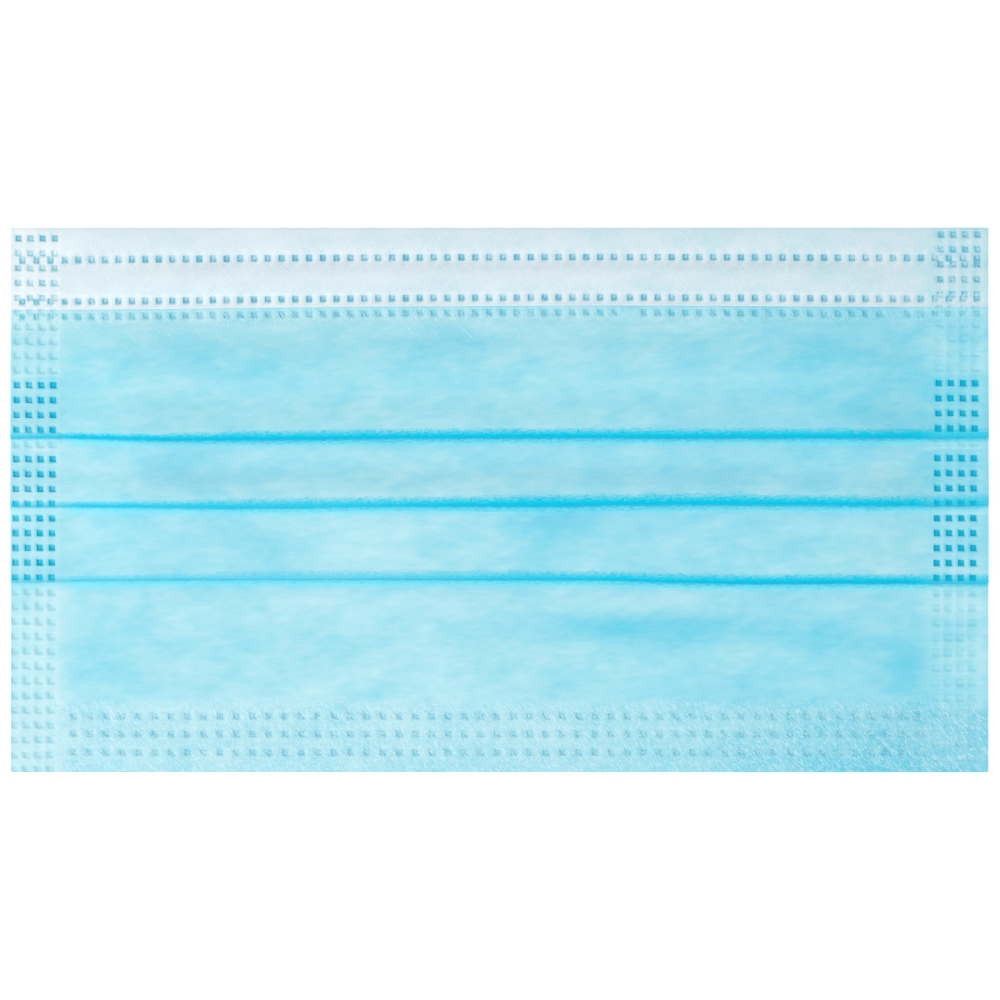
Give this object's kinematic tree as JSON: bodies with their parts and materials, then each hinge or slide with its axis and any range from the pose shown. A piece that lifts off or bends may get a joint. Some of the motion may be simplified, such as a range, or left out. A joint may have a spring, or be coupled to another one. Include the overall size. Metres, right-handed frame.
{
  "type": "medical face mask",
  "caption": "Flat-folded pleated face mask: a blue outer ply and a white inner ply turned over the nose edge as a band, with a flat nose wire between them.",
  "frame": {"origin": "middle of the mask's outline on the surface that it lies on", "axes": "+X across the mask to the right as seen from the blue side, +Y up the mask to the nose edge, +Z out of the blue side"},
  "size_m": [0.175, 0.0974, 0.0059],
  "materials": {
    "blue_spunbond": "soft matte nonwoven with welded dots",
    "white_spunbond": "soft matte nonwoven with welded dots",
    "wire_plastic": "drawn polyethylene over an iron core"
  },
  "bodies": {
    "root": {"outer_ply": "blue_spunbond", "inner_ply": "white_spunbond", "nose_wire": "wire_plastic"}
  },
  "joints": []
}
